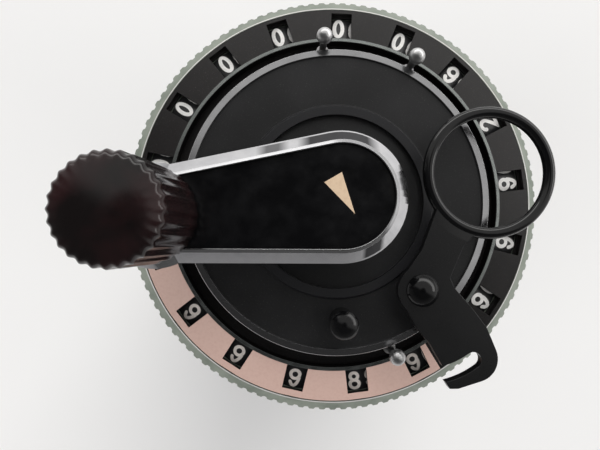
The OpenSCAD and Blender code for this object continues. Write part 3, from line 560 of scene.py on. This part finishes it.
def dress_nodes():
    """Gives every CAD node its finish."""
    for name, obj in frame["nodes"].items():
        stem = name.rstrip("0123456789").rstrip("_")
        finish = FINISHES[NODE_FINISH[stem]].material
        if not obj.material_slots:
            obj.data.materials.append(finish)
        for held in obj.material_slots:
            held.material = finish


def curve(cx, cy, rx, ry, start, end, n=14):
    """Points along part of an oval, between two angles in degrees."""
    return [(cx + rx * math.cos(math.radians(start + (end - start) * k / n)),
             cy + ry * math.sin(math.radians(start + (end - start) * k / n))) for k in range(n + 1)]


# Strokes of the digits, each a list of points and whether it closes, in a box of height 1
SIX_TAIL = curve(0.0, -0.08, 0.222, 0.5, 40, 172)
GLYPHS = {
    0: [(curve(0, 0.0, 0.19, 0.42, 0, 360, 30)[:-1], True)],
    1: [([(-0.15, 0.26), (0.03, 0.42), (0.03, -0.42)], False)],
    2: [(curve(0, 0.19, 0.215, 0.23, 170, -38) + [(-0.225, -0.42), (0.235, -0.42)], False)],
    3: [(curve(0, 0.21, 0.2, 0.21, 155, -90) + curve(0, -0.21, 0.225, 0.21, 90, -155)[1:], False)],
    4: [([(0.1, -0.42), (0.1, 0.42), (-0.24, -0.17), (0.25, -0.17)], False)],
    5: [([(0.2, 0.42), (-0.17, 0.42), (-0.2, 0.04)] + curve(0, -0.16, 0.225, 0.26, 118, -150), False)],
    6: [(curve(0, -0.19, 0.22, 0.23, 0, 360, 22)[:-1], True), (SIX_TAIL, False)],
    7: [([(-0.22, 0.42), (0.22, 0.42), (-0.06, -0.42)], False)],
    8: [(curve(0, 0.225, 0.185, 0.195, 0, 360, 20)[:-1], True),
        (curve(0, -0.2, 0.225, 0.22, 0, 360, 22)[:-1], True)],
    9: [(curve(0, 0.19, 0.22, 0.23, 0, 360, 22)[:-1], True), ([(-x, -y) for x, y in SIX_TAIL], False)],
}
STROKE_STEP = 0.1
PEN_END_STEPS = 6


def finer(points, closed):
    """The same path with no stretch longer than STROKE_STEP."""
    ends = points[1:] + points[:1] if closed else points[1:]
    out = []
    for a, b in zip(points, ends):
        n = max(1, math.ceil(math.dist(a, b) / STROKE_STEP))
        out += [(a[0] + (b[0] - a[0]) * k / n, a[1] + (b[1] - a[1]) * k / n) for k in range(n)]
    return out if closed else out + [points[-1]]


def ribbon(points, closed, pen):
    """Left and right sides of a pen stroke along the points."""
    n = len(points)
    sides = []
    for i, p in enumerate(points):
        before = points[i - 1] if closed or i else p
        after = points[(i + 1) % n] if closed or i < n - 1 else p
        d1 = Vector((p[0] - before[0], p[1] - before[1]))
        d2 = Vector((after[0] - p[0], after[1] - p[1]))
        d1 = d1.normalized() if d1.length > 1e-9 else d2.normalized()
        d2 = d2.normalized() if d2.length > 1e-9 else d1
        along = (d1 + d2).normalized() if (d1 + d2).length > 1e-6 else d1
        across = Vector((-along.y, along.x))
        reach = pen / max(0.45, across.dot(Vector((-d1.y, d1.x))))
        sides.append(((p[0] + across.x * reach, p[1] + across.y * reach),
                      (p[0] - across.x * reach, p[1] - across.y * reach)))
    return sides


def make_object(name, points, faces, finish, smooth=False):
    """Makes an object from points in millimetres, with one finish."""
    mesh = bpy.data.meshes.new(name)
    mesh.from_pydata([tuple(c * MM for c in p) for p in points], [], faces)
    mesh.validate()
    if smooth:
        mesh.shade_smooth()
    mesh.update()
    obj = bpy.data.objects.new(name, mesh)
    bpy.context.collection.objects.link(obj)
    obj.data.materials.append(FINISHES[finish].material)
    return obj


def mesh_piece(name, points, faces, finish, body, smooth=False):
    """Makes an object and lets it ride on a body."""
    obj = make_object(name, points, faces, finish, smooth)
    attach(obj, body)
    return obj


def net(outer, inner, closed=True):
    """Faces over loops of inner points each; the last loop is joined to the first if closed."""
    faces = []
    for j in range(outer if closed else outer - 1):
        i = (j + 1) % outer
        faces += [(j * inner + k, j * inner + (k + 1) % inner, i * inner + (k + 1) % inner, i * inner + k)
                  for k in range(inner)]
    return faces


def turned_piece(name, profile, finish, body, n, centre=ORIGIN, axis=UP, start=EAST):
    """A closed ring turned round an axis; the profile's points are radius and height along the axis."""
    side = axis.cross(start)
    points = []
    for k in range(n):
        a = 2 * math.pi * k / n
        out = math.cos(a) * start + math.sin(a) * side
        points += [centre + r * out + h * axis for r, h in profile]
    return mesh_piece(name, points, net(n, len(profile)), finish, body)


class Plan:
    """Gathers thin raised marks, drawn flat and laid on a surface, into one mesh."""

    def __init__(self):
        self.points = []
        self.faces = []

    def corner(self, lay, x, y):
        """Adds the upper and the lower point over a flat place, and gives the upper one's number."""
        self.points += [lay(x, y, True), lay(x, y, False)]
        return len(self.points) - 2

    def stroke(self, lay, points, closed, pen):
        """One pen stroke with round ends."""
        points = finer(points, closed)
        ids = [(self.corner(lay, *a), self.corner(lay, *b)) for a, b in ribbon(points, closed, pen)]
        pairs = list(zip(ids, ids[1:] + ids[:1])) if closed else list(zip(ids, ids[1:]))
        for (a, b), (c, d) in pairs:
            self.faces += [(a, b, d, c), (a, c, c + 1, a + 1), (b, b + 1, d + 1, d)]
        if closed:
            return
        for at, near, (left, right) in ((points[0], points[1], ids[0]), (points[-1], points[-2], ids[-1])):
            out = math.atan2(at[1] - near[1], at[0] - near[0])
            start, stop = (right, left) if at is points[-1] else (left, right)
            arc = [start]
            for k in range(1, PEN_END_STEPS):
                turn = out - math.pi / 2 + math.pi * k / PEN_END_STEPS
                arc.append(self.corner(lay, at[0] + pen * math.cos(turn), at[1] + pen * math.sin(turn)))
            arc.append(stop)
            self.faces.append(tuple(arc))
            for a, b in zip(arc, arc[1:]):
                self.faces.append((b, a, a + 1, b + 1))

    def digit(self, number, lay, height, pen):
        for points, closed in GLYPHS[number]:
            self.stroke(lambda x, y, top: lay(x * height, y * height, top), points, closed, pen)

    def piece(self, name, finish, body):
        """Makes the object and lets it ride on a body."""
        obj = make_object(name, self.points, self.faces, finish)
        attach(obj, body)


def on_drum(centre, axis, outward, radius, turn):
    """Lays a flat mark round a drum: x runs round it and y along its axis, at a turn in radians."""
    across = axis.cross(outward)

    def lay(x, y, top):
        angle = x / radius + turn
        r = radius + (INK_UP if top else -INK_DOWN)
        return centre + r * (math.cos(angle) * outward + math.sin(angle) * across) + y * axis
    return lay


def on_sleeve(angle, height):
    """Lays a flat mark on the body's outside at an angle in degrees and a height."""
    a = math.radians(angle)

    def lay(x, y, top):
        r = SLEEVE_RADIUS + (INK_UP if top else -INK_DOWN)
        at = a + x / SLEEVE_RADIUS
        return Vector((r * math.cos(at), r * math.sin(at), height + y))
    return lay


def cone_z(radius, depth=0.0):
    """Height of the window ring's slope at a radius, or of a place some depth below it."""
    return CONE_IN_Z - (radius - CONE_IN_R) * math.tan(CONE_SLOPE) - depth


def window_cuts(counter, result):
    """Upright blocks, one over each window, that the ring is cut with."""
    points = []
    faces = []
    near = STRIPE_OUT_R + CUT_CLEAR
    for angle in result + counter:
        end = WINDOW_OUT_R if angle in counter else RESULT_WINDOW_OUT_R
        a = math.radians(angle)
        start = len(points)
        for z in (cone_z(end, SHEET + CUT_BELOW), CONE_IN_Z + 1):
            for radius, side in ((near, -1), (end, -1), (end, 1), (near, 1)):
                t = side * WINDOW_WIDTH / 2
                points.append(tuple(c * MM for c in (radius * math.cos(a) - t * math.sin(a),
                                                     radius * math.sin(a) + t * math.cos(a), z)))
        faces += [tuple(start + k for k in face) for face in
                  ((3, 2, 1, 0), (4, 5, 6, 7), (0, 1, 5, 4), (1, 2, 6, 5), (2, 3, 7, 6), (3, 0, 4, 7))]
    mesh = bpy.data.meshes.new("window_cuts")
    mesh.from_pydata(points, [], faces)
    cuts = bpy.data.objects.new("window_cuts", mesh)
    bpy.context.collection.objects.link(cuts)
    return cuts


def window_ring():
    """The sloping ring of windows: a thin sheet, cut out over every dial, with the marker groove and cover."""
    sheet = SHEET / math.cos(CONE_SLOPE)
    edge_r, wall_r, cover_wall_r = CONE_IN_R + CONE_EDGE, CONE_IN_R + WALL, GROOVE_IN_R - WALL
    cover_low, floor_low = COVER_Z - COVER_THICK, GROOVE_Z - GROOVE_FLOOR
    profile = [(CONE_OUT_R, SKIRT_LOW_Z), (CONE_OUT_R, cone_z(CONE_OUT_R)),
               (edge_r, cone_z(edge_r)), (CONE_IN_R, cone_z(CONE_IN_R, CONE_EDGE)),
               (CONE_IN_R, GROOVE_Z), (GROOVE_IN_R, GROOVE_Z),
               (GROOVE_IN_R, COVER_Z), (COVER_IN_R, COVER_Z),
               (COVER_IN_R, cover_low), (cover_wall_r, cover_low), (cover_wall_r, floor_low),
               (wall_r, floor_low), (wall_r, cone_z(wall_r, sheet)),
               (SKIRT_IN_R, cone_z(SKIRT_IN_R, sheet)), (SKIRT_IN_R, SKIRT_LOW_Z)]
    ring = turned_piece("window_sheet", profile, "ring", "carriage", RING_STEPS)
    cuts = window_cuts([COUNTER_ANGLE + COLUMN_PITCH * i for i in range(COUNTER_COUNT)],
                       [UNITS_ANGLE - COLUMN_PITCH * i for i in range(RESULT_COUNT)])
    cut = ring.modifiers.new("windows", "BOOLEAN")
    cut.operation = "DIFFERENCE"
    cut.solver = "EXACT"
    cut.object = cuts
    bpy.context.view_layer.update()
    made = bpy.data.meshes.new_from_object(ring.evaluated_get(bpy.context.evaluated_depsgraph_get()))
    ring.modifiers.clear()
    ring.data = made
    bpy.data.objects.remove(cuts)
    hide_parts("window_ring")


def disc_bevel():
    """The polished slope round the clearing disc."""
    outer, inner = DISC_R - 0.02, DISC_R - 0.9
    profile = [(inner, DISC_TOP_Z - 0.02), (outer, DISC_TOP_Z - 0.12), (outer, DISC_TOP_Z - 0.07),
               (DISC_R - 0.08, DISC_TOP_Z + 0.01), (DISC_R - 0.84, DISC_TOP_Z + 0.13),
               (inner, DISC_TOP_Z + 0.12)]
    ring = turned_piece("disc_bevel", profile, "bevel", "clearing_disc", RING_STEPS)


def number_band(name, centre, axis, start, body):
    """The printed band round a numeral dial."""
    low, top = DIAL_RADIUS - 0.05, BAND_RADIUS
    drop, edge = BAND_EDGE
    profile = [(low, -BAND_OUTER_END), (top - drop, -BAND_OUTER_END), (top, edge - BAND_OUTER_END),
               (top, BAND_INNER_END - edge), (top - drop, BAND_INNER_END), (low, BAND_INNER_END)]
    turned_piece(name, profile, "dial", body, 96, centre, axis, start)


def number_dials():
    """Numerals round every result and counter dial: their tops point to the shaft."""
    joints = {j["name"]: j for j in frame["joints"]}
    registers = (("result", RESULT_SHOWN, RESULT_TURNED, RESULT_DIGIT, RESULT_PEN, "white_ink"),
                 ("counter", COUNTER_SHOWN, COUNTER_TURNED, COUNTER_DIGIT, COUNTER_PEN, "grey_ink"))
    for register, shown, turned, height, pen, ink in registers:
        for i, digit in enumerate(shown):
            body = f"{register}_dial_{i + 1}"
            joint = joints[body + "_turn"]
            centre = Vector(joint["pos_m"]) / MM
            inward = -Vector(joint["axis"]).normalized()
            outward = (UP - inward * inward.z).normalized()
            number_band(f"{register}_band_{i + 1}", centre, inward, outward, body)
            plan = Plan()
            for k in range(10):
                turn = math.radians(DIGIT_PITCH * k + turned[i])
                lay = on_drum(centre - DIGIT_SHIFT * inward, inward, outward, BAND_RADIUS, turn)
                plan.digit((digit + k) % 10, lay, height, pen)
            plan.piece(f"{register}_numerals_{i + 1}", ink, body)


def number_setting_drums():
    """Numerals round every setting drum, upright in the sleeve's windows, with 0 showing at rest."""
    for i in range(SETTING_COUNT):
        a = math.radians(UNITS_ANGLE - COLUMN_PITCH * i)
        out = Vector((math.cos(a), math.sin(a), 0))
        centre = SETTING_CIRCLE * out + Vector((0, 0, SETTING_SIGHT_Z))
        plan = Plan()
        for k in range(10):
            lay = on_drum(centre, UP, out, SETTING_DRUM_RADIUS, math.radians(DIGIT_PITCH * k))
            plan.digit(k, lay, SETTING_DIGIT, SETTING_PEN)
        plan.piece(f"setting_numerals_{i + 1}", "white_ink", f"setting_dial_{i + 1}")


def number_slots():
    """A scale of 0 to 9 beside each slot, level with the slider's places, and the column's number below."""
    plan = Plan()
    for i in range(SETTING_COUNT):
        angle = UNITS_ANGLE - COLUMN_PITCH * i
        for k in range(10):
            lay = on_sleeve(angle + SCALE_ASIDE, SLIDER_ZERO_Z - SLIDER_STEP * k)
            plan.digit(k, lay, SCALE_DIGIT, SCALE_PEN)
        plan.digit(i + 1, on_sleeve(angle, COLUMN_DIGIT_Z), COLUMN_DIGIT, COLUMN_PEN)
    plan.piece("slot_scales", "engraved_ink", "root")


def pale_zone():
    """The thin pale enamel over the counter's part of the window ring, open round its windows."""
    inner, outer = STRIPE_OUT_R + PALE_GAP, CONE_OUT_R - PALE_OUTER_GAP
    sill = WINDOW_OUT_R + PALE_GAP
    half = WINDOW_WIDTH / 2 + PALE_GAP
    windows = [COUNTER_ANGLE + COLUMN_PITCH * i for i in range(COUNTER_COUNT)]
    points = []
    faces = []

    def corner(radius, offset, angle):
        """Adds the upper and the lower point over a place, and gives the upper one's number."""
        a = math.radians(angle)
        x = radius * math.cos(a) - offset * math.sin(a)
        y = radius * math.sin(a) + offset * math.cos(a)
        z = cone_z(math.hypot(x, y))
        points.extend([(x, y, z + PALE_UP), (x, y, z - PALE_DOWN)])
        return len(points) - 2

    def skin(rows):
        """The top between rows of corners, and the sides round it."""
        for a, b in zip(rows, rows[1:]):
            for k in range(len(a) - 1):
                faces.append((a[k], b[k], b[k + 1], a[k + 1]))
            faces.append((a[0], a[0] + 1, b[0] + 1, b[0]))
            faces.append((a[-1], b[-1], b[-1] + 1, a[-1] + 1))
        for a, b in zip(rows[0], rows[0][1:]):
            faces.append((a, b, b + 1, a + 1))
        for a, b in zip(rows[-1], rows[-1][1:]):
            faces.append((a, a + 1, b + 1, b))

    for left, right in zip([None] + windows, windows + [None]):
        n = 3 if left is None else 4 if right is None else 12
        rows = []
        for k in range(n + 1):
            t = k / n
            row = []
            for radius in (inner, (inner + sill) / 2, sill, outer):
                reach = math.degrees(math.asin(half / radius))
                a = PALE_START if left is None else left + reach
                b = PALE_END if right is None else right - reach
                row.append(corner(radius, 0.0, a + (b - a) * t))
            rows.append(row)
        skin(rows)
    for angle in windows:
        skin([[corner(math.sqrt(radius * radius - half * half), side * half, angle)
               for radius in (sill, outer)] for side in (-1, -0.5, 0, 0.5, 1)])
    obj = make_object("pale_zone", points, faces, "pale_zone")
    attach(obj, "carriage")


def arm_outline(inset):
    """The arm's outline drawn in by a distance: its two round ends joined by straight sides."""
    lean = math.acos((HUB_R - ARM_END_R) / CRANK_LENGTH)
    middle = math.radians(CRANK_ANGLE)
    points = []
    for at, radius, start, end, n in (((0.0, 0.0), HUB_R, middle + lean, middle - lean + 2 * math.pi, 96),
                                      (KNOB_AT, ARM_END_R, middle - lean, middle + lean, 48)):
        for k in range(n + 1):
            a = start + (end - start) * k / n
            points.append((at[0] + (radius - inset) * math.cos(a), at[1] + (radius - inset) * math.sin(a)))
    return points


def arm_lip():
    """The polished lip on which the arm's chamfer runs out, round the recessed black face."""
    top, foot = ARM_TOP_Z + 0.22, ARM_TOP_Z - 0.3
    section = [(1.14, ARM_TOP_Z - 0.1), (1.17, ARM_TOP_Z - 0.02), (1.52, top), (1.58, top),
               (1.62, ARM_TOP_Z + 0.18), (1.62, foot), (1.4, foot)]
    loops = [[(x, y, z) for x, y in arm_outline(inset)] for inset, z in section]
    points = [q for loop in loops for q in loop]
    lip = mesh_piece("arm_lip", points, net(len(loops), len(loops[0])), "lip", "crank")


def knob_profile():
    """The knob's side from its foot to the dome, as radius and height, and the height where the side ends."""
    top = KNOB_TOP_Z - KNOB_FOOT_Z
    centre_r = KNOB_WIDEST - KNOB_SHOULDER
    lean = math.asin(centre_r / (KNOB_DOME - KNOB_SHOULDER))
    side_h = top - KNOB_DOME + (KNOB_DOME - KNOB_SHOULDER) * math.cos(lean)
    profile = [(KNOB_FOOT_IN_R, 0.0), (KNOB_FOOT_R - 0.45, 0.0), (KNOB_FOOT_R - 0.12, 0.15),
               (KNOB_FOOT_R, KNOB_FOOT_H)]
    profile += [(KNOB_FOOT_R + (KNOB_WIDEST - KNOB_FOOT_R) * k / 6,
                 KNOB_FOOT_H + (side_h - KNOB_FOOT_H) * k / 6) for k in range(1, 6)]
    for k in range(9):
        a = (math.pi / 2 - lean) * k / 8
        profile.append((centre_r + KNOB_SHOULDER * math.cos(a), side_h + KNOB_SHOULDER * math.sin(a)))
    shoulder_r = profile[-1][0]
    for k in range(1, 12):
        r = shoulder_r * (1 - k / 12)
        profile.append((r, top - KNOB_DOME + math.sqrt(KNOB_DOME ** 2 - r * r)))
    return profile, side_h


def knob():
    """Moulded knob: fluted side, round shoulder on which the flutes run out, and a glossy domed top."""
    profile, side_h = knob_profile()
    n = FLUTES * FLUTE_STEPS

    def loop(radii, height):
        return [(KNOB_AT[0] + r * math.cos(2 * math.pi * k / n), KNOB_AT[1] + r * math.sin(2 * math.pi * k / n),
                 KNOB_FOOT_Z + height) for k, r in enumerate(radii)]

    waves = [(0.5 - 0.5 * math.cos(2 * math.pi * k * FLUTES / n)) ** 0.8 for k in range(n)]
    points = []
    for r, h in profile:
        if h > side_h:
            fade = min(1.0, max(0.0, (r - FLUTE_END_R) / FLUTE_FADE))
        else:
            fade = min(1.0, h / FLUTE_FOOT_FADE)
        points += loop([r - FLUTE_DEPTH * fade * wave for wave in waves], h)
    last = len(points) - n
    faces = net(len(profile), n, False)
    points.append((KNOB_AT[0], KNOB_AT[1], KNOB_TOP_Z))
    faces += [(last + k, last + (k + 1) % n, len(points) - 1) for k in range(n)]
    bore = len(points)
    points += loop([KNOB_BORE_R] * n, 0.0) + loop([KNOB_BORE_R] * n, KNOB_BORE_DEPTH)
    for k in range(n):
        q = (k + 1) % n
        faces.append((k, bore + k, bore + q, q))
        faces.append((bore + k, bore + n + k, bore + n + q, bore + q))
    faces.append(tuple(bore + n + k for k in reversed(range(n))))
    made = mesh_piece("knob_moulding", points, faces, "knob", "crank_knob", True)
    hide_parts("crank_knob")


def knob_spindle():
    """The pin that the knob turns on, short enough for the dome."""
    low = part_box("knob_pin")[0].z / MM
    end = KNOB_FOOT_Z + SPINDLE_LENGTH
    profile = [(0.02, low), (SPINDLE_R - 0.15, low), (SPINDLE_R, low + 0.15), (SPINDLE_R, end - 0.3),
               (SPINDLE_R - 0.3, end), (0.02, end)]
    pin = turned_piece("knob_spindle", profile, "pin", "crank", 48, Vector((KNOB_AT[0], KNOB_AT[1], 0)))
    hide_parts("knob_pin")


def arrow():
    """The plain direction arrow on the crank's face, slightly raised with a sloping edge."""
    middle = (sum(p[0] for p in ARROW_TIPS) / 3, sum(p[1] for p in ARROW_TIPS) / 3)
    points = []
    for grow, z in ((1.0, FACE_Z - 0.02), (1.0, FACE_Z + 0.02), (0.93, FACE_Z + 0.04)):
        points += [(middle[0] + (x - middle[0]) * grow, middle[1] + (y - middle[1]) * grow, z)
                   for x, y in ARROW_TIPS]
    faces = [(8, 7, 6)]
    for level in (0, 3):
        for k in range(3):
            n = (k + 1) % 3
            faces.append((level + k, level + k + 3, level + n + 3, level + n))
    obj = make_object("direction_arrow", points, faces, "arrow")
    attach(obj, "crank")


def floor():
    """A plain pale floor."""
    half = FLOOR_HALF / MM
    obj = make_object("floor", [(-half, -half, 0), (half, -half, 0), (half, half, 0), (-half, half, 0)],
                      [(0, 1, 2, 3)], "floor")


def world():
    """A pale surround, darker overhead where the photographer stands, with a bright pane in the metal."""
    made = bpy.data.worlds.new("surround")
    bpy.context.scene.world = made
    made.use_nodes = True
    w = Nodes(made.node_tree)

    def background(colour, strength):
        light = w.node("ShaderNodeBackground")
        light.inputs["Color"].default_value = colour
        w.feed(light.inputs["Strength"], strength)
        return light.outputs[0]

    def choose(factor, a, b):
        mixed = w.node("ShaderNodeMixShader")
        for socket, given in zip(mixed.inputs, (factor, a, b)):
            w.join(given, socket)
        return mixed.outputs[0]

    way = w.node("ShaderNodeTexCoord").outputs["Generated"]
    height = w.split(way)[2]
    toward = w.dot(way, (0.47, 0.88, 0.0))
    overhead = w.remap(height, 0.945, 0.975, 1.0, 0.03)
    dim = w.remap(height, 0.2, 0.6, 0.2, 0.05)
    side = w.remap(toward, -0.14, 0.16, dim, 0.8, interpolation_type="SMOOTHSTEP")
    pane = w.product(w.remap(height, 0.18, 0.24), w.remap(height, 0.46, 0.52, 1.0, 0.0))
    pane_light = w.remap(toward, 0.3, 0.4, 0.0, 3.5)
    strength = w.math("MULTIPLY_ADD", pane, pane_light, w.product(overhead, side))
    seen = background(srgb(243, 242, 240), 1.0)
    mirrored = background(srgb(243, 242, 240), strength)
    fill = background(srgb(250, 250, 252), 0.6)
    path = w.node("ShaderNodeLightPath").outputs
    glossy = w.math("MAXIMUM", path["Is Glossy Ray"], path["Is Transmission Ray"])
    light = choose(path["Is Camera Ray"], choose(glossy, fill, mirrored), seen)
    w.join(light, w.node("ShaderNodeOutputWorld").inputs[0])


def soft_light(name, at, size, watts, colour):
    """A large square lamp that looks at the middle of the machine and isn't mirrored in it."""
    lamp = bpy.data.lights.new(name, "AREA")
    lamp.shape = "SQUARE"
    lamp.size = size
    lamp.energy = watts
    lamp.color = colour
    obj = bpy.data.objects.new(name, lamp)
    bpy.context.collection.objects.link(obj)
    obj.location = at
    toward = Vector(LAMP_AIM) - Vector(at)
    obj.rotation_mode = "QUATERNION"
    obj.rotation_quaternion = toward.to_track_quat("-Z", "Y")
    obj.visible_glossy = False


def lights():
    soft_light("key", (0.25, 0.75, 0.75), 0.7, 6.4, (1.0, 0.995, 0.985))
    soft_light("fill", (-0.8, -0.35, 0.6), 0.8, 2.6, (0.985, 0.99, 1.0))
    soft_light("low_right", (0.9, -0.45, 0.45), 0.6, 1.6, (1.0, 0.99, 0.98))


def camera():
    """The photograph's viewpoint: close above the machine, looking nearly straight down."""
    data = bpy.data.cameras.new("view")
    data.sensor_fit = "HORIZONTAL"
    data.sensor_width = SENSOR
    data.lens = LENS
    data.dof.use_dof = False
    data.clip_start = CLIP_START
    obj = bpy.data.objects.new("view", data)
    bpy.context.collection.objects.link(obj)
    about_y, about_x = (math.radians(a) for a in CAMERA_TURN)
    turn = Matrix.Rotation(about_y, 3, "Y") @ Matrix.Rotation(about_x, 3, "X")
    obj.matrix_world = Matrix.Translation(CAMERA_AT) @ turn.transposed().to_4x4()
    bpy.context.scene.camera = obj
    bpy.context.scene.view_settings.view_transform = "Standard"


camera()
dress_nodes()
window_ring()
disc_bevel()
number_dials()
number_setting_drums()
number_slots()
pale_zone()
arm_lip()
knob()
knob_spindle()
arrow()
floor()
world()
lights()
